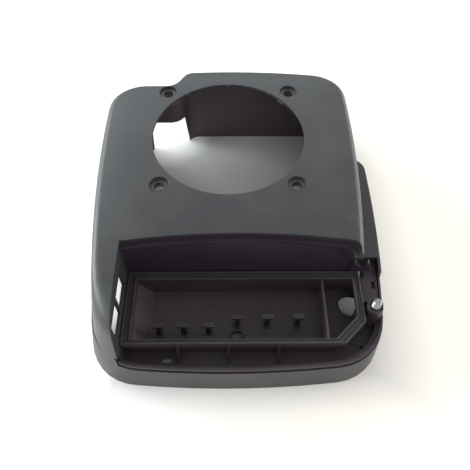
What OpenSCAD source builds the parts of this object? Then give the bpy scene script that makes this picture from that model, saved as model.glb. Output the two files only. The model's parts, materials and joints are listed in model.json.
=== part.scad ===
// Blower housing of a small vertical-shaft engine, with its air filter box built into the front.
// Millimetres, Z up. The origin is on the crankshaft axis, in the top face of the deck.
// +Y points away from the filter box, +X to the side of the carburettor.

/* [Shroud] */
// Height of the housing, from the rim it stands on to the top of the deck
body_h = 102; // [98:1:108]
// Half the width of the flat deck at its widest place
deck_half_w = 122; // [120:1:126]
// Distance from the fan axis back to the edge of the flat deck
deck_rear = 98; // [96:0.5:104]
// How far the notch at the rear left cuts into the deck
notch_depth = 23.3; // [20:0.1:25]
// Distance from the fan axis sideways to the notch's inner corner
notch_side = 58; // [55:0.5:61]
// Thickness of the shroud's walls
wall = 2.8; // [2:0.1:3.4]
// Radius of the shoulders along the deck's sides
shoulder_r = 7; // [5:0.5:9]
// Slope of the side walls, in degrees
side_draft = 11.5; // [8:0.5:13]
// Radius of the fan opening
fan_r = 77.5; // [70:0.5:79]

/* [Starter bolts] */
// Distance between neighbouring starter bolts
bolt_pitch = 131; // [128:0.5:133]
// Radius of the bolt holes
bolt_hole_r = 5.15; // [3:0.05:6]
// Radius of the sunk seat round each bolt hole
bolt_seat_r = 9.75; // [8:0.25:10]
// Depth of the sunk seats
bolt_seat_depth = 2.7; // [1:0.1:4]

/* [Rear window] */
// Width of the window in the rear wall, under the notch
rear_window_w = 44.5; // [30:0.5:48]
// Height of the window in the rear wall
rear_window_h = 47; // [30:1:60]

/* [Filter recess] */
// Distance from the fan axis to the middle of the recess's curved rear edge
recess_rear = 121; // [120:0.5:124]
// Depth of the recess that the filter cover sits in
recess_depth = 50; // [47:1:53]
// Depth of the ledge that the cover's rear edge rests on
ledge_depth = 10; // [6:0.5:14]
// Width of that ledge
ledge_w = 2; // [1:0.5:3]
// Length of each slot for the cover's tabs
tab_slot_l = 25; // [18:1:26]
// Height of each slot for the cover's tabs
tab_slot_h = 24; // [12:1:26]

/* [Filter tray] */
// From the recess's rear edge to the tray's opening
tray_gap = 20; // [18:0.5:22]
// Width of the tray's opening, from its rear to its front
tray_w = 59.5; // [56:0.5:62]
// How far the opening's left end lies inside the deck's side
tray_left_inset = 36; // [34:1:40]
// How far the opening's right end lies inside the deck's side
tray_right_inset = 5.5; // [4:0.5:7]
// Size of the cut corner at the tray's front right
tray_chamfer = 22; // [16:1:26]
// Depth of the filter chamber under the tray's rim
chamber_depth = 23.5; // [20:0.5:26]
// Thickness of the tray's walls and floor
tray_wall = 2.5; // [2:0.1:3]
// Width of the tray's rim
rim_w = 8.5; // [7:0.5:9]
// Height of the two beads along the rim
rim_bead_h = 2; // [1:0.25:3]
// Distance of the partition from the opening's right end
baffle_inset = 28.5; // [24:0.5:36]

/* [Lower skirt] */
// How far the wing at the right stands out beyond the deck's side
wing_step = 28; // [26:1:32]
// Length of the wing, from front to rear
wing_l = 129; // [110:1:134]
// From the tray's opening to the foot of the front apron
apron_gap = 27; // [25:0.5:30]
// Depth of the front lip's top below the deck
lip_depth = 59; // [57:1:62]

/* [Intake] */
// Radius of the air passage to the carburettor
intake_r = 12; // [10:0.5:12.5]
// Distance of the passage from the opening's rear side
intake_from_rear = 14.5; // [14:0.5:18]
// Length of the sleeve that the carburettor's gasket lies against
intake_drop = 5.5; // [5:0.5:8]
// Radius of the breather hose's passage
breather_r = 5.5; // [4:0.25:6]

/* [Cover stud] */
// Radius of the stud's free end
stud_r = 4; // [3:0.5:4.5]
// Distance of the stud from the wing's side
stud_inset = 16.5; // [15:0.5:18]
// Height of the boss above the trough's floor
stud_boss_h = 28; // [20:1:32]
// Height of the stud above its boss
stud_stand = 8; // [6:1:16]

/* [Element clips] */
// Height of the clips
clip_h = 20; // [14:1:22]
// Width of a clip's cap
clip_cap_w = 10.5; // [8:0.5:14]

/* [Screws] */
// Radius of the screws' shanks
screw_r = 2; // [1.5:0.25:2.5]
// Radius of the screws' heads
screw_head_r = 4; // [3.25:0.25:4.5]

/* [Hidden] */
$fn = 64;

skin = 0.01;                 // thickness of the slices that a hull joins
seam = 0.05;                 // the rear hollow is this much narrower than the main one
gap = 0.3;                   // clearance between curved faces of neighbouring mouldings
far = 300;                   // further out than any face of the housing

// Places that follow from the sizes above, measured from the fan axis
notch_rear = deck_rear - notch_depth;
tray_left = deck_half_w - tray_left_inset;
tray_right = deck_half_w - tray_right_inset;
tray_rear = recess_rear + tray_gap;
tray_front = tray_rear + tray_w;
front_reach = tray_front + apron_gap;
baffle_x = tray_right - baffle_inset;
wing_half_w = deck_half_w + wing_step;
wing_front = tray_rear - 24.5;
intake_x = tray_right + 1.5;
intake_y = tray_rear + intake_from_rear;
stud_x = wing_half_w - stud_inset;
stud_y = tray_rear + 29.5;

// Deck and its walls
widest_y = 17.5;             // where the deck is widest
split_y = wing_front - 14;   // forward of here the corners are rounder
side_arc_r = 1250;           // the long sides bow outward on this radius
rear_arc_r = 720;            // and the rear on this one, flatter towards the base
front_arc_r = 960;
corner_r = 34;
front_corner_r = 50;
rear_edge_r = 3;
rear_draft = 1.6;
notch_angle = 60;            // direction of the notch's side
notch_corner_r = 13;
notch_fillet_r = 20;
nose_start = front_reach - 59;   // the left cheek starts to dip here
nose_full = front_reach - 5.5;   // and reaches this far at the depth nose_drop
nose_drop = 22;
nose_power = 2.1;
nose_draft = 8.7;

outer_levels = [0, -0.7, -2.4, -5, -9, -14, -nose_drop, -body_h];
inner_levels = [0, -2.4, -8, -nose_drop, -body_h];
edge_levels = [0, -0.7, -2.4, -rear_edge_r, -body_h];

// Rear window
window_right = notch_side - 7.5;
window_slant = 2.8;          // each side leans in by this much towards the top
window_reach = 15;           // the cut starts this far inside the rear wall

// Recess
recess_mid_x = 8;
recess_arc_r = 680;
cheek_x = tray_left + rim_w + 1;
recess_foot = tray_rear - rim_w - 1;
cheek_bottom = 56;           // lower edge of the left cheek
port_rear = wing_front - 29; // the left wall is open below the cheek from here on
slot_wall = 2;               // the cheek's inner wall
slot_top = 17;
slot_bar = 3;
slot_front = tray_front + 3;
end_x = tray_right + 0.5;    // wall at the recess's right end
end_y = recess_foot + 9;
end_step = 4.5;              // it is thicker by this much below the ledge
end_round = 7;
end_z = [-13, -26];          // its foot slopes from here to here
curl_t = 4;                  // thickness of the wavy flange below it

// Tray
flange_z = -recess_depth;
floor_z = flange_z - chamber_depth;
floor_bottom = floor_z - tray_wall;
rim_right = 0.8;             // the rim is narrower at the right, by this factor
lip_front_w = 4.5;           // and narrower in front
rim_drop = 6;                // the rim's outer edge turns down this far
bead_w = 1.8;
ramp_w = 14;
step_h = 3;
step_front = tray_front - 12.5;
shelf_z = flange_z - 10;     // shelf at the right of the chamber
shelf_y = tray_rear + 18.5;
rib_t = 1.8;
rail_t = 2;

// Skirt
skirt_arc_r = 1300;
skirt_mid_y = -32.5;
skirt_draft = 5;
front_draft = 2;
skirt_step = 1.2;            // the skirt stands this far outside the cheek
wing_corner_r = 16;
lip_bead_h = 3;
lip_groove_h = 2.5;
skirt_top = -lip_depth - lip_bead_h - lip_groove_h;
skirt_left_end = tray_rear + 13.5;
step_y = wing_front + 16;    // the right wall steps down to the lip here
lip_inset = wall + 1;

// Fasteners
boss_wall = 2.5;
boss_drop = 10;
pad_l = 6;                   // length of the pads under the wing's screws
lug_t = 3;
lug_r = screw_head_r + 2;
lug_l = 20;
lug_z = floor_bottom - boss_drop - lug_t;
screw_head_h = 2.6;
screw_grip = 10;
screw_tip = 1.5;
screw_play = 0.3;
fit_gap = 0.05;              // between a round part and its hole
stud_neck = 0.4;             // the shank inside the boss is thinner by this much
stud_end_l = stud_stand - 1.5;
washer_t = 1.6;
washer_r = stud_r + 3;
stud_head_h = 5.3;
boss_foot_r = 10;
boss_top_r = 7.5;
lock_r = 5.6;
lock_seat = 2.5;
sleeve_wall = 1.5;
sleeve_r = intake_r + sleeve_wall;
pocket_reach = 8;            // how far the pocket round the passage reaches under the rim
socket_h = 4;
gasket_t = 1.5;
nipple_l = 1.5;
baffle_t = 2;
seal_gap = 0.2;
wing_screw_ys = [-14.5, -90.5];
wing_screw_z = -76;

// Places across the tray: [x, distance from the opening's front side]
clip_spots = [[22 - tray_left, 16], [45 - tray_left, 16], [67.5 - tray_left, 16],
    [baffle_x - 80, 24], [baffle_x - 52.5, 24], [baffle_x - 24, 24]];
rib_xs = [for (i = [0 : 2]) 41 - tray_left + 45 * i];
breather_spot = [baffle_x - 80, 12.5];
skirt_screw_spots = [[8 - tray_left, -13], [78 - tray_left, -14], [baffle_x - 22, -13],
    [tray_right + 14.5, 13]];
floor_slots = [[30 - tray_left, -10.2], [tray_right + 7.5, 0]];
hollow_xs = [baffle_x - 54, baffle_x - 27];
boss_y = tray_wall + screw_r + boss_wall - 1.5 - recess_foot;
tray_screw_xs = [41 - tray_left, tray_right - 71.5, tray_right - 18.5];

// ---------- outlines ----------

// Outward reach of the side walls at height z, from the edge of the flat deck
function side_out(z) = let (drop = shoulder_r * (1 - sin(side_draft)))
    -z < drop ? sqrt(pow(shoulder_r, 2) - pow(shoulder_r + z, 2))
              : shoulder_r * cos(side_draft) + (-z - drop) * tan(side_draft);

// The same for the rear wall
function rear_out(z) = -z < rear_edge_r ? sqrt(pow(rear_edge_r, 2) - pow(rear_edge_r + z, 2))
    : rear_edge_r + (-z - rear_edge_r) * tan(rear_draft);

// Radius of the rear wall's arc at height z
function rear_r(z) = rear_arc_r / max(0.1, 1 + z / body_h);

// The shroud's right wall at height z
function wall_x(y, z) = deck_half_w + side_out(z) - pow(y - widest_y, 2) / (2 * side_arc_r);

// How far forward the cheek's nose reaches at height z
function nose_reach(z) = let (t = min(1, -z / nose_drop))
    nose_start + (nose_full - nose_start) * pow(1 - pow(1 - t, nose_power), 1 / nose_power)
    + max(0, -z - nose_drop) * tan(nose_draft);

// Outer reach of the skirt's right wall and of its front at height z
function wing_out(z) = wing_half_w + (-z - recess_depth) * tan(skirt_draft);
function front_out(z) = front_reach - (body_h + z) * tan(front_draft);

module rounded(r) offset(r = r, $fn = 32) offset(delta = -r) children();

module band(y0, y1) translate([-far, y0]) square([2 * far, y1 - y0]);

module arc(r, y) translate([0, y]) circle(r = r, $fn = 360);

// Outline of the shroud between its sides and its front, as shallow arcs
module shroud_outline(half, front) intersection() {
    intersection_for(s = [-1, 1]) translate([s * (side_arc_r - half), widest_y])
        circle(r = side_arc_r, $fn = 360);
    arc(front_arc_r, front_arc_r - front);
}

module slice(z) translate([0, 0, z - skin]) linear_extrude(skin) children();

// Main part of the shroud, with every face moved inward by inset
module shroud_main(inset, levels) hull() for (z = levels) {
    z_in = z - (z > -body_h ? inset : abs(inset));
    level = z > -body_h ? z : z_in;
    half = deck_half_w + side_out(level) - inset;
    front = nose_reach(level) - inset;
    rear = notch_rear + rear_out(level) - inset;
    for (part = [[corner_r, -split_y, far], [front_corner_r, -far, -split_y]])
        slice(z_in) intersection() {
            rounded(part[0]) intersection() {
                shroud_outline(half, front);
                band(-far, rear);
            }
            band(part[1], part[2]);
        }
}

// Part of the shroud that reaches further back, beside the notch
module shroud_rear(inset, levels) hull() for (z = levels) {
    rear = deck_rear + rear_out(z) - inset;
    slice(z - inset) intersection() {
        rounded(corner_r) intersection() {
            shroud_outline(deck_half_w + side_out(z) - inset, far / 2);
            arc(rear_r(z), rear - rear_r(z));
        }
        rounded(notch_corner_r) intersection() {
            arc(rear_r(z), rear - rear_r(z));
            notch_line(rear_out(z) - inset);
            band(-corner_r, far);
        }
    }
}

// Everything right of the notch's side, moved outward by step
module notch_line(step) translate([-notch_side, notch_rear]) rotate(notch_angle)
    translate([-far, step - 2 * far]) square(2 * far);

// Rounds the notch's inner corner, or the hollow behind it where inset is the wall
module notch_fillet(inset) {
    tangent = notch_fillet_r * tan(notch_angle / 2);
    c = [-notch_side - tangent, notch_rear + notch_fillet_r];
    r = notch_fillet_r + inset;
    difference() {
        translate([0, 0, -body_h - inset]) linear_extrude(body_h) polygon([c,
            [c.x, notch_rear - wall - 1], [-notch_side + wall, notch_rear - wall - 1],
            [-notch_side + tangent * cos(notch_angle) + wall,
                notch_rear + tangent * sin(notch_angle) - wall]]);
        translate([c.x, c.y, -inset]) cylinder(r = r, h = 1);
        for (i = [1 : len(edge_levels) - 1])
            let (a = edge_levels[i - 1], b = edge_levels[i], more = b > -body_h ? 0 : 1)
            translate([c.x, c.y, b - inset - more])
                cylinder(r1 = r - rear_out(b), r2 = r - rear_out(a), h = a - b + more);
    }
}

module rear_window() translate([0, far, 0]) rotate([90, 0, 0])
    linear_extrude(far - notch_rear + window_reach) let (top = rear_window_h - body_h, foot = -body_h - 1)
    polygon([[-window_right - rear_window_w, foot], [-window_right, foot],
        [-window_right - window_slant, top], [-window_right - rear_window_w + window_slant, top]]);

// Plan of the recess, with its curved rear edge moved forward by step
module recess_plan(step) intersection() {
    translate([recess_mid_x, -recess_rear - step - recess_arc_r])
        circle(r = recess_arc_r, $fn = 360);
    translate([-cheek_x, -far]) square([2 * far, far]);
}

// The open space of the recess, grown by g on its rear and left sides
module recess_space(g) translate([-g, 0, 0]) {
    translate([0, 0, -ledge_depth - g]) linear_extrude(ledge_depth + g + 1) recess_plan(-g);
    hull() {
        slice(-ledge_depth - g + skin) recess_plan(ledge_w - g);
        slice(flange_z + skin) translate([-cheek_x, -far]) square([2 * far, far - recess_foot + g]);
    }
}

// Wall at the recess's right end: thicker below the ledge, its foot sloping back
module end_wall() intersection() {
    union() {
        translate([0, 0, -ledge_depth]) linear_extrude(2 * ledge_depth) end_plan(end_x, 0);
        translate([0, 0, flange_z]) linear_extrude(recess_depth - ledge_depth)
            end_plan(end_x - end_step, ledge_w);
    }
    rotate([90, 0, 90]) linear_extrude(far) polygon([[-recess_rear + 9, 1], [-end_y, 1],
        [-end_y, end_z[0]], [-recess_foot, end_z[1]], [-recess_rear + 9, end_z[1]]]);
}

// What lies right of the recess's rounded plan at its right end
module end_plan(x, step) difference() {
    translate([x - end_round - 2, -end_y - 1]) square([far, end_y]);
    rounded(end_round) intersection() {
        recess_plan(step);
        translate([x - far, -2 * far]) square([far, 3 * far]);
    }
}

// Wavy flange that runs on from the end wall's foot to the wing
module end_curl() translate([0, 2 - recess_foot, 0]) rotate([90, 0, 0]) linear_extrude(curl_t)
    offset(r = 1.2) offset(delta = -2.4) offset(r = 1.2) translate([end_x, flange_z + rim_bead_h + 0.5])
    polygon([[-1, 0], [-1, 19.5], [0, 19.5], [2, 14], [4, 10], [6.5, 8.2], [9, 9], [11, 13],
        [12.5, 15], [14, 14], [16.2, 7], [18, 0]]);

// ---------- fan shroud ----------

module bolt_spots() for (x = [-1, 1], y = [-1, 1])
    translate([x * bolt_pitch / 2, y * bolt_pitch / 2, 0]) children();

module tray_screw_spots() for (x = tray_screw_xs) translate([x, boss_y, flange_z]) children();

// Places of the two screws through the right wall, and the pads that they press on
module wing_screw_spots() for (y = wing_screw_ys)
    translate([wall_x(y, wing_screw_z), y, wing_screw_z]) rotate([0, 90, 0]) children();

module wing_pad() translate([0, 0, -pad_l]) cylinder(r = lug_r, h = pad_l + 2);

module fan_shroud() color("#3a3c3d") {
    difference() {
        union() {
            shroud_main(0, outer_levels);
            shroud_rear(0, outer_levels);
            notch_fillet(0);
        }
        // hollow inside, without the recess's walls and the bosses
        difference() {
            union() {
                shroud_main(wall, inner_levels);
                shroud_rear(wall + seam, inner_levels);
                notch_fillet(wall);
            }
            recess_space(tray_wall);
            bolt_spots() translate([0, 0, -bolt_seat_depth - 6])
                cylinder(r = bolt_seat_r + 2.5, h = bolt_seat_depth + 6);
            tray_screw_spots() cylinder(r = screw_r + boss_wall, h = screw_grip + 6);
            wing_screw_spots() wing_pad();
        }
        // everything in front of the recess's rear wall and right of the cheek
        difference() {
            recess_space(0);
            end_wall();
        }
        translate([0, 0, -body_h - 10]) linear_extrude(body_h + 10 - recess_depth)
            translate([-cheek_x - slot_wall - 0.5, -far]) square([2 * far, far - recess_foot]);
        // below the cheek
        translate([-far, -far, -body_h - 10])
            cube([far, far - port_rear, body_h + 10 - cheek_bottom]);
        // fan opening and starter bolts
        translate([0, 0, -30]) cylinder(r = fan_r, h = 40, $fn = 128);
        bolt_spots() {
            translate([0, 0, -20]) cylinder(r = bolt_hole_r, h = 30);
            translate([0, 0, -bolt_seat_depth]) cylinder(r = bolt_seat_r, h = 10);
        }
        rear_window();
        // slots for the cover's tabs
        for (i = [0, 1])
            translate([-cheek_x - slot_wall - 2, -slot_front + i * (tab_slot_l + slot_bar),
                -slot_top - tab_slot_h]) cube([slot_wall + 4, tab_slot_l, tab_slot_h]);
        // pilot holes of the screws
        tray_screw_spots() translate([0, 0, -1]) cylinder(r = screw_r, h = screw_grip + 2);
        wing_screw_spots() translate([0, 0, -10]) cylinder(r = screw_r, h = 30);
    }
    end_curl();
}

// ---------- lower skirt ----------

// Outline of the skirt at height z, with every side moved inward by inset
module skirt_outline(z, inset, corner, y0, y1) intersection() {
    rounded(corner) intersection() {
        translate([wing_out(z) - inset - skirt_arc_r, skirt_mid_y])
            circle(r = skirt_arc_r, $fn = 360);
        translate([side_arc_r - (deck_half_w + side_out(z) + skirt_step - inset), widest_y])
            circle(r = side_arc_r, $fn = 360);
        arc(front_arc_r, front_arc_r - front_out(z) + inset);
        band(-far, wing_l - wing_front + wing_out(z) - wing_half_w - inset);
    }
    band(y0, y1);
}

// The skirt's outer form, with its sides moved inward by inset and its top down by drop
module skirt_form(inset, drop, foot) hull()
    for (end = [[flange_z, flange_z - drop], [-body_h, -body_h - foot]]) slice(end[1]) {
        skirt_outline(end[0], inset, wing_corner_r, -split_y, far);
        skirt_outline(end[0], inset, front_corner_r, -far, -split_y);
    }

// Lugs inside the skirt that the tray is screwed to from below
module skirt_screw_at(z) for (p = skirt_screw_spots) translate([p.x, p.y - tray_front, z]) children();

module skirt_lug(sideways) {
    cylinder(r = lug_r, h = lug_t);
    translate(sideways ? [0, -lug_r, 0] : [-lug_r, -lug_l, 0])
        cube(sideways ? [lug_l, 2 * lug_r, lug_t] : [2 * lug_r, lug_l, lug_t]);
}

module lower_skirt() color("#46474a") difference() {
    union() {
        difference() {
            skirt_form(0, 0, 0);
            difference() {
                skirt_form(wall, wall, 1);
                // front wall of the wing
                translate([0, -wing_front, -body_h]) cube([far, wall, body_h]);
                wing_screw_spots() translate([0, 0, gap]) cylinder(r = screw_r + boss_wall, h = 40);
            }
            // room for the tray in front of the wing, above the lip's groove
            translate([-cheek_x - slot_wall, -far, skirt_top])
                cube([2 * far, far - step_y, body_h]);
            translate([0, 0, -body_h - 1]) linear_extrude(body_h) intersection() {
                skirt_outline(flange_z, wall, wing_corner_r, -step_y, -wing_front);
                translate([-cheek_x - slot_wall, -step_y])
                    square([2 * far, step_y - wing_front]);
            }
            // left end, under the cheek
            translate([-far, -far, -cheek_bottom])
                cube([far - cheek_x - slot_wall, far, far]);
            translate([-far, -skirt_left_end, -far]) cube([far - cheek_x, far, 2 * far]);
        }
        intersection() {
            skirt_form(0, 0, 0);
            union() {
                skirt_screw_at(lug_z) skirt_lug(false);
                translate([skirt_screw_spots[3].x, skirt_screw_spots[3].y - tray_front, lug_z])
                    skirt_lug(true);
            }
        }
    }
    // the shroud, which the wing stands against
    intersection() {
        shroud_main(-gap, inner_levels);
        translate([-far, -recess_foot - gap, -far]) cube([2 * far, far, 2 * far]);
    }
    skirt_screw_at(-body_h) cylinder(r = screw_r + screw_play, h = body_h - lip_depth);
    wing_screw_spots() cylinder(r = screw_r, h = screw_grip);
}

// ---------- filter tray ----------

// Outline of the tray's opening, grown by g at the rear, left and right and by f in front
module opening_plan(g, f) {
    x0 = -tray_left - g;
    x1 = tray_right + g * rim_right;
    y0 = -tray_front - f;
    y1 = -tray_rear + g;
    c = tray_chamfer + (f - g * rim_right) * (1 - tan(22.5));
    polygon([[x0, y1], [x1, y1], [x1, y0 + c], [x1 - c, y0], [x0, y0]]);
}

// A frame round the opening, from one growth to another
module frame(g, f, g_in, f_in) difference() {
    opening_plan(g, f);
    opening_plan(g_in, f_in);
}

// Outline of the trough and its lip, moved inward by inset from the skirt's outer face
module trough_plan(inset) intersection() {
    skirt_outline(skirt_top, inset, front_corner_r, -far, -wing_front);
    translate([-cheek_x - slot_wall, -far]) square([2 * far, far]);
}

// The part of that outline right of the chamber, down to y
module bay_plan(x, y) intersection() {
    trough_plan(lip_inset);
    translate([x, -y]) square(far);
}

// One ring of the front lip, from z up by h, between two insets
module lip_ring(z, h, outer, inner) translate([0, 0, z]) linear_extrude(h) difference() {
    trough_plan(outer);
    trough_plan(inner);
    band(-step_y, far);
}

module slot(l, w, h) translate([-l / 2, -w / 2, 0]) cube([l, w, h]);

// Upright rib whose front edge slopes from the rim down to the trough's floor
module rib(x) translate([x + rib_t / 2, 0, 0]) rotate([90, 0, -90]) linear_extrude(rib_t)
    polygon([[tray_front + 1, floor_z], [tray_front + 1, flange_z - 1],
        [tray_front + lip_front_w, flange_z - 1], [tray_front + lip_front_w + 9, floor_z]]);

// Slope at the chamber's left end
module ramp() translate([0, -tray_rear + 1, 0]) rotate([90, 0, 0])
    linear_extrude(tray_w + 2) polygon([[-tray_left - 1, floor_z - 1],
        [-tray_left - 1, flange_z - 5], [-tray_left + ramp_w, floor_z - 1]]);

// Rails that the partition slides down between
module baffle_rails() for (s = [-1, 1], y = [-tray_rear - rail_t, -tray_front])
    translate([baffle_x + s * (baffle_t + rail_t) / 2 - rail_t / 2, y, floor_z])
        cube([rail_t, rail_t, chamber_depth - 4]);

// Sloping outer face of the rim at the right, wider towards the front
module rim_slope() translate([tray_right + 4, 0, 0]) hull() {
    front = -tray_front + tray_chamfer + 8;
    slice(flange_z) polygon([[0, -recess_foot], [2.6, -recess_foot], [2.2, front + 1], [0, front + 1]]);
    slice(flange_z - rim_drop - 0.5) polygon([[0, -recess_foot], [3.5, -recess_foot], [6, front], [0, front]]);
}

module filter_tray() color("#2b2a2e") difference() {
    union() {
        // floor of chamber, trough and right side
        translate([0, 0, floor_bottom]) linear_extrude(tray_wall) {
            difference() {
                trough_plan(lip_inset);
                bay_plan(intake_x + sleeve_r + tray_wall, shelf_y - tray_wall);
            }
            opening_plan(tray_wall, tray_wall);
        }
        // raised shelf at the right of the chamber, and the step down in front of it
        translate([0, 0, shelf_z - tray_wall]) linear_extrude(tray_wall)
            bay_plan(tray_right + 1, shelf_y);
        translate([0, 0, floor_bottom]) linear_extrude(shelf_z - floor_bottom) difference() {
            bay_plan(tray_right + 1, shelf_y);
            bay_plan(tray_right, shelf_y - tray_wall);
        }
        // front lip, with its bead over the skirt's edge
        translate([0, 0, floor_bottom]) linear_extrude(skirt_top + 1 - floor_bottom) difference() {
            trough_plan(lip_inset);
            trough_plan(lip_inset + tray_wall);
            translate([-cheek_x - slot_wall, -recess_foot - 10])
                square([cheek_x + slot_wall + tray_right, 100]);
            bay_plan(intake_x + sleeve_r + tray_wall, shelf_y - tray_wall);
        }
        lip_ring(skirt_top + gap, lip_groove_h - gap + 0.1, lip_inset - 1.5, lip_inset + 1);
        lip_ring(-lip_depth - lip_bead_h, lip_bead_h, 1, 3);
        // left end of the trough
        translate([0, 0, floor_bottom]) linear_extrude(flange_z - floor_bottom) intersection() {
            trough_plan(lip_inset);
            translate([-cheek_x - slot_wall, -far]) square([tray_wall, far - tray_front]);
        }
        // walls of the chamber
        translate([0, 0, floor_bottom]) linear_extrude(flange_z - floor_bottom)
            frame(tray_wall, tray_wall, 0, 0);
        // rim: flange, two beads and the edge turned down in front
        translate([0, 0, flange_z - tray_wall]) linear_extrude(tray_wall) {
            frame(rim_w, lip_front_w, 0, 0);
            difference() {
                translate([-cheek_x - slot_wall + 2, -tray_front]) {
                    square([cheek_x + slot_wall - 2 - tray_left, tray_front - recess_foot + 3]);
                    translate([0, tray_front - tray_rear])
                        square([cheek_x + slot_wall - 2 + tray_right + rim_w * rim_right,
                            tray_rear - recess_foot + 3]);
                }
                opening_plan(rim_w - 1, 0);
            }
        }
        translate([0, 0, flange_z]) linear_extrude(rim_bead_h) {
            frame(rim_w, lip_front_w, rim_w - bead_w, lip_front_w - bead_w);
            frame(bead_w, bead_w / 2, 0, 0);
        }
        translate([0, 0, flange_z - rim_drop]) linear_extrude(rim_drop) intersection() {
            frame(rim_w, lip_front_w, rim_w - tray_wall, lip_front_w - 2);
            band(-far, -tray_front + tray_chamfer + 10);
        }
        rim_slope();
        for (x = rib_xs) rib(x);
        // step along the chamber's front
        translate([0, 0, floor_bottom]) linear_extrude(tray_wall + step_h) intersection() {
            opening_plan(0.5, 0.5);
            translate([-tray_left, -far]) square([tray_left + baffle_x, far - step_front]);
        }
        ramp();
        baffle_rails();
        // boss of the cover's stud
        intersection() {
            translate([stud_x, -stud_y, floor_bottom])
                cylinder(r1 = boss_foot_r, r2 = boss_top_r, h = stud_boss_h + tray_wall);
            translate([0, 0, floor_bottom]) linear_extrude(body_h) trough_plan(lip_inset);
        }
        skirt_screw_at(floor_bottom - boss_drop) cylinder(r = screw_r + boss_wall, h = boss_drop);
        tray_screw_spots() translate([-lug_r, -lug_r, -tray_wall])
            cube([2 * lug_r, 2 * lug_r, tray_wall]);
        // half-round pocket over the air passage, under the rim
        translate([0, 0, floor_bottom]) linear_extrude(flange_z - floor_bottom - tray_wall)
            pocket_plan(tray_wall);
        // socket of the sleeve
        translate([intake_x, -intake_y, floor_bottom - socket_h])
            cylinder(r = sleeve_r + tray_wall, h = socket_h + 1);
    }
    translate([0, 0, floor_z]) linear_extrude(chamber_depth - tray_wall) pocket_plan(0);
    translate([intake_x, -intake_y, floor_bottom - socket_h - 1])
        cylinder(r = sleeve_r, h = socket_h + 1 + tray_wall);
    translate([breather_spot.x, breather_spot.y - tray_front, floor_z - 20])
        cylinder(r = breather_r + 1.5, h = 30);
    translate([stud_x, -stud_y, floor_bottom - 20]) {
        cylinder(r = stud_r - stud_neck + fit_gap, h = 80);
        cylinder(r = washer_r + gap, h = 20);
        translate([0, 0, 20 + tray_wall + stud_boss_h - lock_seat]) cylinder(r = lock_r + gap, h = 10);
    }
    skirt_screw_at(floor_bottom - boss_drop - 1)
        cylinder(r = screw_r, h = boss_drop + 1 + tray_wall - screw_tip);
    tray_screw_spots() translate([0, 0, -10]) cylinder(r = screw_r + screw_play, h = 20);
    // slots through the trough's floor and through the shelf
    for (p = floor_slots) translate([p.x, p.y - tray_front, floor_z - 5]) slot(8.5, 4.4, 10);
    translate([stud_x + 5, -tray_rear - 0.5, shelf_z - 5]) slot(4, 8, 10);
    // hollows of the moulding in front of the clips' right row
    for (x = hollow_xs) translate([x, -step_front - 6, floor_z + 1]) slot(10, 3, 10);
    // the shroud's wall
    intersection() {
        shroud_main(-gap, inner_levels);
        translate([tray_right + rim_w + 1, -recess_foot - 1, -far]) cube([far, far, 2 * far]);
    }
}

// Plan of the pocket, and with its wall
module pocket_plan(t) intersection() {
    translate([intake_x, -intake_y]) circle(sleeve_r + t);
    translate([tray_right - 1 + t / tray_wall, -far]) square([pocket_reach - tray_wall + 1, far]);
}

// ---------- small parts ----------

module baffle_plate() color("#303034")
    translate([baffle_x - baffle_t / 2, -tray_front, floor_z + step_h])
        cube([baffle_t, tray_w, chamber_depth - step_h + 1.2]);

module tray_seal() color("#1c1c1e") translate([0, 0, flange_z]) linear_extrude(rim_bead_h * 0.7)
    frame(rim_w - bead_w - 2 * seal_gap, lip_front_w - bead_w - seal_gap,
        bead_w + 2 * seal_gap, bead_w / 2 + seal_gap);

// T-shaped support: a foot, a narrow stem and a wide cap
module element_clip(i) color("#232226")
    translate([clip_spots[i].x, clip_spots[i].y - tray_front, floor_z]) {
        slot(7, 6, 1.5);
        slot(4.4, 3, clip_h);
        translate([0, 0, clip_h - 1.8]) slot(clip_cap_w, 5, 1.8);
        for (s = [-1, 1]) translate([s * (clip_cap_w / 2 - 0.7), -1.7, clip_h - 4]) slot(1.4, 1.6, 4);
    }

module cover_stud() color("silver") translate([stud_x, -stud_y, 0]) {
    top = floor_z + stud_boss_h + stud_stand;
    seat = floor_bottom - washer_t;
    translate([0, 0, seat]) cylinder(r = stud_r - stud_neck, h = top - stud_end_l - seat);
    translate([0, 0, top - stud_end_l]) cylinder(r = stud_r, h = stud_end_l - 1);
    translate([0, 0, top - 1]) cylinder(r1 = stud_r, r2 = stud_r - 1, h = 1);
    translate([0, 0, seat - stud_head_h]) cylinder(r = stud_r + 2.4, h = stud_head_h, $fn = 6);
}

module ring(r, hole, h) difference() {
    cylinder(r = r, h = h);
    translate([0, 0, -1]) cylinder(r = hole, h = h + 2);
}

module stud_washer() color("silver") translate([stud_x, -stud_y, floor_bottom - washer_t])
    ring(washer_r, stud_r - stud_neck + fit_gap, washer_t);

module stud_lock_ring() color("#4a4a4c")
    translate([stud_x, -stud_y, floor_z + stud_boss_h - lock_seat])
        ring(lock_r, stud_r - stud_neck + fit_gap, 1);

module intake_sleeve() color("#55565a") translate([intake_x, -intake_y, floor_z - intake_drop])
    difference() {
        cylinder(r = sleeve_r - fit_gap, h = intake_drop);
        translate([0, 0, -1]) cylinder(r = intake_r, h = intake_drop + 2);
    }

module intake_gasket() color("#161616")
    translate([intake_x, -intake_y, min(floor_z - intake_drop, floor_bottom - socket_h) - gasket_t])
        ring(sleeve_r + gasket_t, intake_r, gasket_t);

module breather_nipple() color("#161616")
    translate([breather_spot.x, breather_spot.y - tray_front, floor_bottom - nipple_l])
        difference() {
            union() {
                cylinder(r = breather_r + 1.5 - fit_gap, h = nipple_l + tray_wall);
                cylinder(r = breather_r + 3.5, h = nipple_l);
            }
            translate([0, 0, -1]) cylinder(r = breather_r, h = nipple_l + tray_wall + 2);
        }

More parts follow.
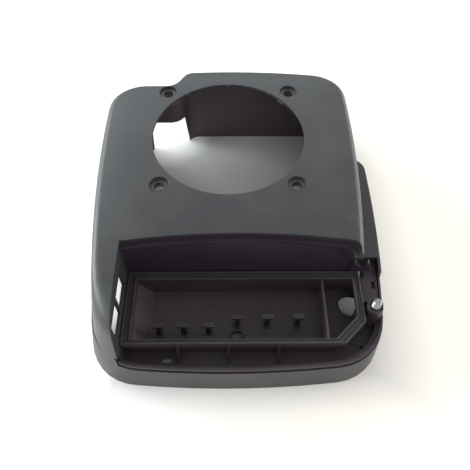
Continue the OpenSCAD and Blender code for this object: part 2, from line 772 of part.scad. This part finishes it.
// A screw along +Z, its head's bearing face at z = 0
module screw(l) {
    cylinder(r = screw_r, h = l - screw_tip);
    translate([0, 0, l - screw_tip]) cylinder(r1 = screw_r, r2 = 0.6, h = screw_tip);
    translate([0, 0, -screw_head_h]) difference() {
        cylinder(r = screw_head_r, h = screw_head_h);
        translate([0, 0, -0.1]) cylinder(r = 1.6, h = 1.6, $fn = 6);
    }
}

module tray_screws() color("#8b8c90") tray_screw_spots()
    translate([0, 0, -tray_wall]) screw(screw_grip + tray_wall);

module skirt_screws() color("#8b8c90") skirt_screw_at(lug_z) screw(screw_grip + lug_t);

module wing_screws() color("#8b8c90") wing_screw_spots()
    translate([0, 0, -pad_l]) screw(pad_l + screw_grip);

fan_shroud();
lower_skirt();
filter_tray();
baffle_plate();
tray_seal();
element_clip(0);  // element_clip_1
element_clip(1);  // element_clip_2
element_clip(2);  // element_clip_3
element_clip(3);  // element_clip_4
element_clip(4);  // element_clip_5
element_clip(5);  // element_clip_6
cover_stud();
stud_washer();
stud_lock_ring();
intake_sleeve();
intake_gasket();
breather_nipple();
tray_screws();
skirt_screws();
wing_screws();
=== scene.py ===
import json
import math

import bmesh
import bpy
from mathutils import Matrix, Vector


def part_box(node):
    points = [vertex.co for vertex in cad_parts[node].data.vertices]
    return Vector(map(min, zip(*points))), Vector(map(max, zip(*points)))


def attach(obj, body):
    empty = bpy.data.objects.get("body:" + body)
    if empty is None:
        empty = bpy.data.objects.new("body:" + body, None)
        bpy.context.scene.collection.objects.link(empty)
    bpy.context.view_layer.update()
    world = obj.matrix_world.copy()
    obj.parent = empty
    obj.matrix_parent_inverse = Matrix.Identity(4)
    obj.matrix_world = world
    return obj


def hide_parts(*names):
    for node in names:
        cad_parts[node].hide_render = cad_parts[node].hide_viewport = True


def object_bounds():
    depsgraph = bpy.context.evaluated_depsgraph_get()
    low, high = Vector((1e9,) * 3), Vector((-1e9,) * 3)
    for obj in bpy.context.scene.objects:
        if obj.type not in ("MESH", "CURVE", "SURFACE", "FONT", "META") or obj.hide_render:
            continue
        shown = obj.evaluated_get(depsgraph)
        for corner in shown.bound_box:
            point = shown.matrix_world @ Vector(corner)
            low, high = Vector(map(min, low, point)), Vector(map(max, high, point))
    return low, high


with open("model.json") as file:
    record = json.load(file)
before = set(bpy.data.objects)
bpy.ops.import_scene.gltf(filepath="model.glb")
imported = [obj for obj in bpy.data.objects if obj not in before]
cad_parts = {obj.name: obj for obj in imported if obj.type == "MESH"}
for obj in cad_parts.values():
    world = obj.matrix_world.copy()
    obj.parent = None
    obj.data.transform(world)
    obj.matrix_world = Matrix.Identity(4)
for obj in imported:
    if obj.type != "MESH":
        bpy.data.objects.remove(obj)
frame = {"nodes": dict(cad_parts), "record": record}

MM = 0.001
WHITE = (1.0, 1.0, 1.0)

cad_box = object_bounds()
low, high = cad_box
mounts = {m["name"]: m for m in frame["record"]["mounts"]}
scene = bpy.context.scene

# shading of the CAD nodes and the new pieces
SMOOTH_BELOW = math.radians(32.0)   # edges flatter than this are shaded smooth
MERGE_WITHIN = 0.002 * MM           # split corners this close are joined

# where the two hollows lie in the shroud whose skin is painted: lighter in the fan space as
# painted light, darker in the recess as painted shade
FAN_SPACE_INSET = 36 * MM           # from the shroud's left and right sides
FAN_SPACE_TOP = -5 * MM
RECESS_INSET = 51 * MM              # from the shroud's left side
RECESS_REACH = 19 * MM              # in front of the tray's rear edge
RECESS_REAR = 4 * MM                # behind the tray's rear edge
RECESS_TOP = -3 * MM
OUTWARD_LIMIT = 0.35                # what faces outward more than this keeps the outer tone, without the painted light or shade

# what lies on the plastic, and the colour of its worn edges, which is partly a painted highlight
# along them
FILM_COLOR = (0.42, 0.42, 0.40)
SPECK_COLOR = (0.5, 0.5, 0.48)
WORN_AND_HIGHLIGHT_COLOR = (0.22, 0.22, 0.22)

# the stud: M8 coarse thread and hexagon head
THREAD_PITCH = 1.25 * MM
THREAD_DEPTH = 0.62 * MM
THREAD_RUNOUT = 8 * MM              # hidden part of the thread, below the mount's span
ROWS_PER_PITCH = 8
TIP_CHAMFER = 1.0 * MM
SHANK_SLACK = 0.45 * MM             # the plain shank's radius is this much below the thread's
HEAD_HEIGHT = 5.3 * MM
HEAD_CHAMFER = 0.6 * MM
OVERLAP = 0.2 * MM

# gate marks: angle round the fan opening in degrees, size as a share
GATE_SPOTS = ((125.3, 1.0), (90.5, 1.0), (74.2, 0.6), (55.7, 0.7), (14.7, 0.7), (-10.4, 0.6),
              (-60.7, 0.8), (-124.0, 0.6), (165.0, 0.6))
GATE_DEPTH = 1.1 * MM
GATE_RADII = (1.5 * MM, 2.0 * MM, 1.0 * MM)

# floor and light
FLOOR_REACH = 6.0
FLOOR_COLOR = (0.80, 0.79, 0.77, 1.0)
FLOOR_GLOW = 0.41
WARM_GLOW = (0.84, 0.76, 0.50)
WARM_SPAN = (-0.1, 0.28)            # the glow turns warm over this span of X
# the glow sets in from the first place to the second; nearer the object's foot it is left out, a
# painted shadow round the foot
PAINTED_SHADOW_SIDES = (
    ("X", low.x + 48 * MM, low.x + 28 * MM),
    ("X", high.x - 33 * MM, high.x + 48 * MM),
    ("Y", low.y + 24 * MM, low.y - 24 * MM),
    ("Y", high.y - 6 * MM, high.y + 30 * MM),
)
# a painted pool of light on the floor behind the cut-out at the rear left, and its radii from none
# to full
PAINTED_SPILL_SPOT = (low.x + 62 * MM, high.y + 6 * MM, low.z)
PAINTED_SPILL_RADII = (66 * MM, 20 * MM)
WORLD_STRENGTH = 0.54
LIGHTS_AIM = (0.0, 0.0, -0.05)
# name, place, width and height, watts, colour
LIGHTS = (
    ("window", (-0.35, 1.5, 1.05), (2.4, 0.9), 9.0, (0.86, 1.0, 1.0)),
    ("left_panel", (-1.3, 0.8, 0.6), (1.3, 0.8), 14.0, (0.88, 1.0, 0.99)),
    ("left_fill", (-1.5, 0.1, 0.4), (1.3, 0.5), 20.0, (0.9, 1.0, 0.98)),
    ("right_fill", (1.5, 0.0, 0.35), (1.2, 0.6), 12.0, (1.0, 0.98, 0.98)),
    ("front_fill", (0.25, -1.3, 1.2), (1.2, 1.2), 2.0, (1.0, 0.96, 0.98)),
    ("right_panel", (1.35, 1.05, 0.3), (1.2, 0.7), 7.0, (1.0, 0.98, 0.97)),
)

# camera: its place, its turns down, to the side and round its axis, and its lens in pixels
CAMERA_SPOT = (0.0047, -0.3704, 0.3649)
CAMERA_PITCH, CAMERA_YAW, CAMERA_ROLL = (math.radians(a) for a in (55.9, 0.35, 0.04))
SENSOR_WIDTH = 36.0
FOCAL_PIXELS = 500.0
IMAGE_PIXELS = 470.0


# ---------- node helpers ----------

class Tree:
    """Short calls for building a node tree."""

    def __init__(self, tree):
        self.tree = tree

    def add(self, kind, **values):
        node = self.tree.nodes.new(kind)
        for key, value in values.items():
            setattr(node, key, value)
        return node

    def link(self, out, inp):
        self.tree.links.new(out, inp)

    def coords(self):
        return self.add("ShaderNodeTexCoord").outputs["Object"]

    def normal(self):
        return self.add("ShaderNodeNewGeometry").outputs["Normal"]

    def split(self, vector):
        """The X, Y and Z outputs of a vector."""
        node = self.add("ShaderNodeSeparateXYZ")
        self.link(vector, node.inputs[0])
        return node.outputs

    def noise(self, scale, detail=2.0, rough=0.5, stretch=None):
        """Noise over the object's own coordinates, scale per metre."""
        node = self.add("ShaderNodeTexNoise")
        node.inputs["Scale"].default_value = scale
        node.inputs["Detail"].default_value = detail
        node.inputs["Roughness"].default_value = rough
        source = self.coords()
        if stretch:
            scaled = self.add("ShaderNodeVectorMath", operation="MULTIPLY")
            scaled.inputs[1].default_value = stretch
            self.link(source, scaled.inputs[0])
            source = scaled.outputs[0]
        self.link(source, node.inputs["Vector"])
        return node.outputs["Fac"]

    def remap(self, value, start, end, to_start=0.0, to_end=1.0):
        """Runs from to_start at start to to_end at end, and stays there beyond."""
        node = self.add("ShaderNodeMapRange")
        node.clamp = True
        self.link(value, node.inputs["Value"])
        numbers = {"From Min": start, "From Max": end, "To Min": to_start, "To Max": to_end}
        for name, number in numbers.items():
            node.inputs[name].default_value = number
        return node.outputs["Result"]

    def math(self, operation, *values):
        node = self.add("ShaderNodeMath", operation=operation)
        for i, value in enumerate(values):
            if isinstance(value, (int, float)):
                node.inputs[i].default_value = value
            else:
                self.link(value, node.inputs[i])
        return node.outputs[0]

    def mix(self, factor, a, b):
        node = self.add("ShaderNodeMix", data_type="RGBA")
        for i, value in ((0, factor), (6, a), (7, b)):
            socket = node.inputs[i]
            if hasattr(value, "is_linked"):
                self.link(value, socket)
            elif isinstance(value, tuple):
                socket.default_value = value + (1.0,)
            else:
                socket.default_value = value
        return node.outputs[2]

    def bump(self, height, strength, distance, normal):
        node = self.add("ShaderNodeBump")
        node.inputs["Strength"].default_value = strength
        node.inputs["Distance"].default_value = distance
        self.link(height, node.inputs["Height"])
        self.link(normal, node.inputs["Normal"])
        return node.outputs["Normal"]


def new_material(name):
    mat = bpy.data.materials.new(name)
    mat.use_nodes = True
    return mat, Tree(mat.node_tree), mat.node_tree.nodes["Principled BSDF"]


def edge_mask(t, radius):
    """(normal rounded at the edges, how near an edge the point is)."""
    bevel = t.add("ShaderNodeBevel", samples=4)
    bevel.inputs["Radius"].default_value = radius
    dot = t.add("ShaderNodeVectorMath", operation="DOT_PRODUCT")
    t.link(bevel.outputs["Normal"], dot.inputs[0])
    t.link(t.normal(), dot.inputs[1])
    return bevel.outputs["Normal"], t.remap(dot.outputs["Value"], 0.995, 0.8)


def within(t, low_corner, high_corner):
    """1 inside a box on what doesn't face out of its sides or to the rear, 0 elsewhere."""
    spot = t.split(t.coords())
    facing = t.split(t.normal())
    middle_x = (low_corner[0] + high_corner[0]) / 2
    side = t.math("SIGN", t.math("SUBTRACT", spot["X"], middle_x))
    outward = t.math("ADD", t.math("MULTIPLY", facing["X"], side), facing["Y"])
    factor = t.math("LESS_THAN", outward, OUTWARD_LIMIT)
    for axis, start, end in zip("XYZ", low_corner, high_corner):
        for operation, limit in (("GREATER_THAN", start), ("LESS_THAN", end)):
            factor = t.math("MULTIPLY", t.math(operation, spot[axis], limit), factor)
    return factor


def plastic(name, color, rough, grain=0.35, edge=0.9 * MM, dust=0.06, wear_and_highlight=0.8, painted_hollows=()):
    """Moulded plastic: fine grain, faint flow marks, a little dust on what faces up, worn edges
    that are lightened partly as a painted highlight.
    The list of hollows gives (low corner, high corner, tone) for hollows whose skin is painted in
    another tone, as painted light or painted shade."""
    mat, t, shader = new_material(name)
    light = tuple(c * 1.08 + 0.001 for c in color)
    dark = tuple(c * 0.93 for c in color)
    flow = t.noise(scale=9.0, detail=3.0, rough=0.55, stretch=(1.0, 2.2, 1.0))
    base = t.mix(t.remap(flow, 0.32, 0.68), dark, light)
    # painted light in the fan space and painted shade in the recess, mixed over the base colour
    for low_corner, high_corner, painted_tint in painted_hollows:
        base = t.mix(within(t, low_corner, high_corner), base, painted_tint)
    specks = t.remap(t.noise(scale=900.0, detail=2.0, rough=0.6), 0.66, 0.74)
    film = t.remap(t.noise(scale=14.0, detail=5.0, rough=0.6), 0.42, 0.8)
    settled = t.math("MULTIPLY", t.remap(t.split(t.normal())["Z"], 0.5, 1.0), dust)
    base = t.mix(t.math("MULTIPLY", settled, film), base, FILM_COLOR)
    base = t.mix(t.math("MULTIPLY", settled, specks), base, SPECK_COLOR)
    normal, near_edge = edge_mask(t, edge)
    # edges lightened partly as wear and partly as a painted highlight along them
    scuff_and_highlight = t.remap(t.noise(scale=160.0, detail=4.0, rough=0.7), 0.4, 0.6, 0.2, 1.0)
    scuff_and_highlight = t.math("MULTIPLY", near_edge, t.math("MULTIPLY", scuff_and_highlight, 0.25 * wear_and_highlight))
    t.link(t.mix(scuff_and_highlight, base, WORN_AND_HIGHLIGHT_COLOR), shader.inputs["Base Color"])
    patch = t.remap(t.noise(scale=14.0, detail=4.0, rough=0.6), 0.3, 0.7, -0.05, 0.06)
    fine = t.remap(t.noise(scale=1400.0, detail=1.0), 0.3, 0.7, -0.04, 0.04)
    roughness = t.math("ADD", t.math("ADD", patch, fine), rough)
    polished = t.math("MULTIPLY", near_edge, 0.08 * wear_and_highlight)
    t.link(t.math("SUBTRACT", roughness, polished), shader.inputs["Roughness"])
    ripple = t.bump(t.noise(scale=42.0), 0.5, 0.12 * MM, normal)
    pores = t.bump(t.noise(scale=2600.0, rough=0.6), grain, 0.05 * MM, ripple)
    t.link(pores, shader.inputs["Normal"])
    shader.inputs["Specular IOR Level"].default_value = 0.5
    return mat


def steel(name, color, rough, edge=0.15 * MM):
    """Plated steel: fine turning marks, dull spots and brighter edges."""
    mat, t, shader = new_material(name)
    marks = t.noise(scale=1800.0, rough=0.6, stretch=(0.05, 0.05, 1.0))
    spots = t.noise(scale=300.0, detail=4.0, rough=0.65)
    dull = tuple(c * 0.62 for c in color)
    bright = tuple(min(1.0, c * 1.25) for c in color)
    base = t.mix(t.remap(spots, 0.4, 0.7, 0.0, 0.8), color, dull)
    normal, near_edge = edge_mask(t, edge)
    t.link(t.mix(t.math("MULTIPLY", near_edge, 0.5), base, bright), shader.inputs["Base Color"])
    roughness = t.math("ADD", t.remap(spots, 0.35, 0.7, -0.06, 0.14), rough)
    t.link(roughness, shader.inputs["Roughness"])
    t.link(t.bump(marks, 0.35, 0.03 * MM, normal), shader.inputs["Normal"])
    shader.inputs["Metallic"].default_value = 1.0
    return mat


def rubber(name, color, rough):
    """Dull rubber with a powdery bloom and small pits."""
    mat, t, shader = new_material(name)
    powder = tuple(c * 2.2 + 0.01 for c in color)
    bloom = t.remap(t.noise(scale=60.0, detail=5.0, rough=0.7), 0.4, 0.72)
    t.link(t.mix(t.math("MULTIPLY", bloom, 0.35), color, powder), shader.inputs["Base Color"])
    roughness = t.math("ADD", t.remap(bloom, 0.0, 1.0, -0.05, 0.1), rough)
    t.link(roughness, shader.inputs["Roughness"])
    normal, _ = edge_mask(t, 0.3 * MM)
    pits = t.noise(scale=1500.0, detail=3.0, rough=0.6)
    t.link(t.bump(pits, 0.4, 0.08 * MM, normal), shader.inputs["Normal"])
    return mat


def shroud_light_and_shade_boxes():
    """(low corner, high corner, tone) of the fan space, painted lighter as painted light, and of
    the recess, painted darker as painted shade.
    """
    shroud_low, shroud_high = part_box("fan_shroud")
    tray_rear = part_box("filter_tray")[1].y
    return (
        ((shroud_low.x + FAN_SPACE_INSET, tray_rear + RECESS_REAR, shroud_low.z),
         (shroud_high.x - FAN_SPACE_INSET, shroud_high.y, FAN_SPACE_TOP),
         (0.10, 0.076, 0.098)),
        ((shroud_low.x + RECESS_INSET, tray_rear - RECESS_REACH, shroud_low.z),
         (shroud_high.x, tray_rear + RECESS_REAR, RECESS_TOP),
         (0.030, 0.020, 0.030)),
    )


MATERIALS = {
    "shroud_plastic": plastic("shroud_plastic", (0.042, 0.040, 0.045), 0.38,
                              painted_hollows=shroud_light_and_shade_boxes()),
    # darker than the shroud's plastic, as painted shade on the front-facing skirt
    "skirt_plastic": plastic("skirt_plastic", (0.035, 0.031, 0.033), 0.42, dust=0.04),
    # tinted purple and raised a little, as painted light in the tray's deep, shaded hollows
    "tray_plastic": plastic("tray_plastic", (0.042, 0.031, 0.040), 0.46, dust=0.05),
    "clip_plastic": plastic("clip_plastic", (0.030, 0.025, 0.029), 0.5, dust=0.0, wear_and_highlight=0.3),
    "sleeve_plastic": plastic("sleeve_plastic", (0.035, 0.033, 0.036), 0.5, dust=0.0),
    "seal_rubber": rubber("seal_rubber", (0.022, 0.022, 0.023), 0.7),
    "zinc_steel": steel("zinc_steel", (0.55, 0.53, 0.51), 0.30),
    "screw_steel": steel("screw_steel", (0.52, 0.52, 0.52), 0.35),
    "dark_steel": steel("dark_steel", (0.10, 0.10, 0.105), 0.45),
}


# ---------- carried-over CAD nodes ----------

def smooth_group():
    """Geometry nodes that drop stored normals and join split corners, then shade smooth across
    shallow edges only. The meshes themselves stay as they are."""
    group = bpy.data.node_groups.new("smooth_by_angle", "GeometryNodeTree")
    group.is_modifier = True
    for in_out in ("INPUT", "OUTPUT"):
        group.interface.new_socket("Geometry", in_out=in_out, socket_type="NodeSocketGeometry")
    t = Tree(group)
    plain = t.add("GeometryNodeRemoveAttribute")
    plain.inputs["Name"].default_value = "custom_normal"
    merge = t.add("GeometryNodeMergeByDistance")
    merge.inputs["Distance"].default_value = MERGE_WITHIN
    all_smooth = t.add("GeometryNodeSetShadeSmooth", domain="FACE")
    sharp = t.add("GeometryNodeSetShadeSmooth", domain="EDGE")
    sharp.inputs["Shade Smooth"].default_value = False
    angle = t.add("GeometryNodeInputMeshEdgeAngle")
    steep = t.add("FunctionNodeCompare", data_type="FLOAT", operation="GREATER_THAN")
    steep.inputs[1].default_value = SMOOTH_BELOW
    t.link(angle.outputs["Unsigned Angle"], steep.inputs[0])
    t.link(steep.outputs[0], sharp.inputs["Selection"])
    t.link(t.add("NodeGroupInput").outputs[0], plain.inputs["Geometry"])
    t.link(plain.outputs["Geometry"], merge.inputs["Geometry"])
    t.link(merge.outputs["Geometry"], all_smooth.inputs["Geometry"])
    t.link(all_smooth.outputs["Geometry"], sharp.inputs["Geometry"])
    t.link(sharp.outputs["Geometry"], t.add("NodeGroupOutput").inputs[0])
    return group


def dress_nodes():
    """Gives every CAD node its material and smooth shading."""
    slots = {s["node"]: s["material_slot"] for s in frame["record"]["subparts"]}
    for name, obj in frame["nodes"].items():
        look = "clip_plastic" if name.startswith("element_clip") else slots[name]
        obj.data.materials.clear()
        obj.data.materials.append(MATERIALS[look])
        obj.modifiers.new("smooth", "NODES").node_group = SMOOTH


SMOOTH = smooth_group()
dress_nodes()


# ---------- threaded stud and small marks ----------

def finish_piece(name, bm, slot_name):
    """Makes a piece of the root body from a bmesh, shaded smooth across shallow edges."""
    mesh = bpy.data.meshes.new(name)
    bmesh.ops.recalc_face_normals(bm, faces=bm.faces)
    bm.to_mesh(mesh)
    bm.free()
    piece = bpy.data.objects.new(name, mesh)
    scene.collection.objects.link(piece)
    mesh.materials.append(MATERIALS[slot_name])
    piece.modifiers.new("smooth", "NODES").node_group = SMOOTH
    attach(piece, "root")
    return piece


def turned(bm, centre, rings, steps, radius_at=None):
    """A solid of revolution. rings are (height, radius); radius_at(height, turn) may lower it."""
    rows = []
    for height, radius in rings:
        row = []
        for i in range(steps):
            turn = i / steps
            r = min(radius, radius_at(height, turn)) if radius_at else radius
            x = centre.x + r * math.cos(math.tau * turn)
            y = centre.y + r * math.sin(math.tau * turn)
            row.append(bm.verts.new((x, y, height)))
        rows.append(row)
    for a, b in zip(rows, rows[1:]):
        for i in range(steps):
            j = (i + 1) % steps
            bm.faces.new((a[i], a[j], b[j], b[i]))
    bm.faces.new(list(reversed(rows[0])))
    bm.faces.new(rows[-1])


def cover_stud():
    """The stud with its rolled thread, a chamfered tip and a hexagon head below the tray."""
    low_end, high_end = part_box("cover_stud")
    centre = (low_end + high_end) / 2
    dims = mounts["cover_stud_end"]["dims"]
    major = dims["r_mm"] * MM
    shank = major - SHANK_SLACK
    chamfer_start = high_end.z - TIP_CHAMFER
    thread_start = chamfer_start - dims["length_mm"] * MM
    start = thread_start - THREAD_RUNOUT
    head_top = low_end.z + HEAD_HEIGHT

    def thread(height, turn):
        wave = abs(((height / THREAD_PITCH - turn) % 1.0) * 2.0 - 1.0)
        return major - THREAD_DEPTH * min(1.0, max(0.0, 1.25 * wave - 0.12))

    bm = bmesh.new()
    count = int((high_end.z - start) / (THREAD_PITCH / ROWS_PER_PITCH))
    rings = [(head_top - OVERLAP, shank), (start - OVERLAP, shank)]
    for i in range(count + 1):
        height = start + (high_end.z - start) * i / count
        tip = major - max(0.0, height - chamfer_start)
        rings.append((height, shank if height < thread_start else tip))
    turned(bm, centre, rings, 48, thread)
    corners = (high_end.x - low_end.x) / 2
    head = [(low_end.z, corners * 0.9), (low_end.z + HEAD_CHAMFER, corners), (head_top, corners)]
    turned(bm, centre, head, 6)
    piece = finish_piece("threaded_stud", bm, "zinc_steel")
    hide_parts("cover_stud")


def gate_marks():
    """Small trimmed nubs that the moulding's gates left round the fan opening."""
    radius = mounts["fan_opening"]["dims"]["r_mm"] * MM
    along, across, tall = GATE_RADII
    bm = bmesh.new()
    for degrees, size in GATE_SPOTS:
        a = math.radians(degrees)
        spot = Matrix.Translation((radius * math.cos(a), radius * math.sin(a), -GATE_DEPTH))
        shape = Matrix.Diagonal((along * size, across * size, tall, 1.0))
        bmesh.ops.create_icosphere(bm, subdivisions=2, radius=1.0,
                                   matrix=spot @ Matrix.Rotation(a, 4, "Z") @ shape)
    finish_piece("gate_marks", bm, "shroud_plastic")


cover_stud()
gate_marks()


# ---------- floor, light and camera ----------

def highest(t, values):
    """The highest of some outputs."""
    result = values[0]
    for value in values[1:]:
        result = t.math("MAXIMUM", result, value)
    return result


def floor_material():
    """A pale floor that keeps the object's shadow and is whiter away from the object's foot, where
    it is seen directly or in a reflection. The darker floor round the foot is a painted shadow,
    and a painted pool of light lies behind the rear-left cut-out."""
    mat, t, shader = new_material("floor")
    shader.inputs["Base Color"].default_value = FLOOR_COLOR
    shader.inputs["Roughness"].default_value = 0.9
    spot = t.split(t.coords())
    # painted shadow round the object's foot, and a painted pool of light behind the rear-left
    # cut-out
    to_painted_spill = t.add("ShaderNodeVectorMath", operation="DISTANCE")
    t.link(t.coords(), to_painted_spill.inputs[0])
    to_painted_spill.inputs[1].default_value = PAINTED_SPILL_SPOT
    painted_shadow_and_spill = highest(t, [t.remap(spot[axis], start, end) for axis, start, end in PAINTED_SHADOW_SIDES]
                   + [t.remap(to_painted_spill.outputs["Value"], *PAINTED_SPILL_RADII)])
    ray = t.add("ShaderNodeLightPath").outputs
    seen = highest(t, [ray["Is Camera Ray"], ray["Is Glossy Ray"], ray["Is Transmission Ray"]])
    glow = t.add("ShaderNodeEmission")
    t.link(t.mix(t.remap(spot["X"], *WARM_SPAN), WHITE, WARM_GLOW), glow.inputs["Color"])
    t.link(t.math("MULTIPLY", t.math("MULTIPLY", painted_shadow_and_spill, FLOOR_GLOW), seen), glow.inputs["Strength"])
    both = t.add("ShaderNodeAddShader")
    t.link(shader.outputs[0], both.inputs[0])
    t.link(glow.outputs[0], both.inputs[1])
    t.link(both.outputs[0], mat.node_tree.nodes["Material Output"].inputs["Surface"])
    return mat


def add_floor():
    mesh = bpy.data.meshes.new("floor")
    corners = [(x * FLOOR_REACH, y * FLOOR_REACH, low.z)
               for x, y in ((-1, -1), (1, -1), (1, 1), (-1, 1))]
    mesh.from_pydata(corners, [], [(0, 1, 2, 3)])
    mesh.materials.append(floor_material())
    floor = bpy.data.objects.new("floor", mesh)
    scene.collection.objects.link(floor)


def add_world():
    world = bpy.data.worlds.new("studio")
    world.use_nodes = True
    background = world.node_tree.nodes["Background"]
    background.inputs["Color"].default_value = WHITE + (1.0,)
    background.inputs["Strength"].default_value = WORLD_STRENGTH
    scene.world = world


def add_lights():
    aim = Vector(LIGHTS_AIM)
    for name, place, size, watts, color in LIGHTS:
        data = bpy.data.lights.new(name, "AREA")
        data.shape = "RECTANGLE"
        data.size, data.size_y = size
        data.energy = watts
        data.color = color
        lamp = bpy.data.objects.new(name, data)
        lamp.location = place
        lamp.rotation_euler = (aim - Vector(place)).to_track_quat("-Z", "Y").to_euler()
        scene.collection.objects.link(lamp)


def add_camera():
    forward = Vector((math.sin(CAMERA_YAW) * math.cos(CAMERA_PITCH),
                      math.cos(CAMERA_YAW) * math.cos(CAMERA_PITCH),
                      -math.sin(CAMERA_PITCH)))
    level = Vector((math.cos(CAMERA_YAW), -math.sin(CAMERA_YAW), 0.0))
    over = level.cross(forward)
    right = math.cos(CAMERA_ROLL) * level + math.sin(CAMERA_ROLL) * over
    up = -math.sin(CAMERA_ROLL) * level + math.cos(CAMERA_ROLL) * over
    data = bpy.data.cameras.new("camera")
    data.sensor_width = SENSOR_WIDTH
    data.lens = SENSOR_WIDTH * FOCAL_PIXELS / IMAGE_PIXELS
    data.clip_start = 0.01
    camera = bpy.data.objects.new("camera", data)
    turn = Matrix((right, up, -forward)).transposed().to_4x4()
    camera.matrix_world = Matrix.Translation(CAMERA_SPOT) @ turn
    scene.collection.objects.link(camera)
    scene.camera = camera


add_floor()
add_world()
add_lights()
add_camera()

scene.view_settings.view_transform = "Standard"
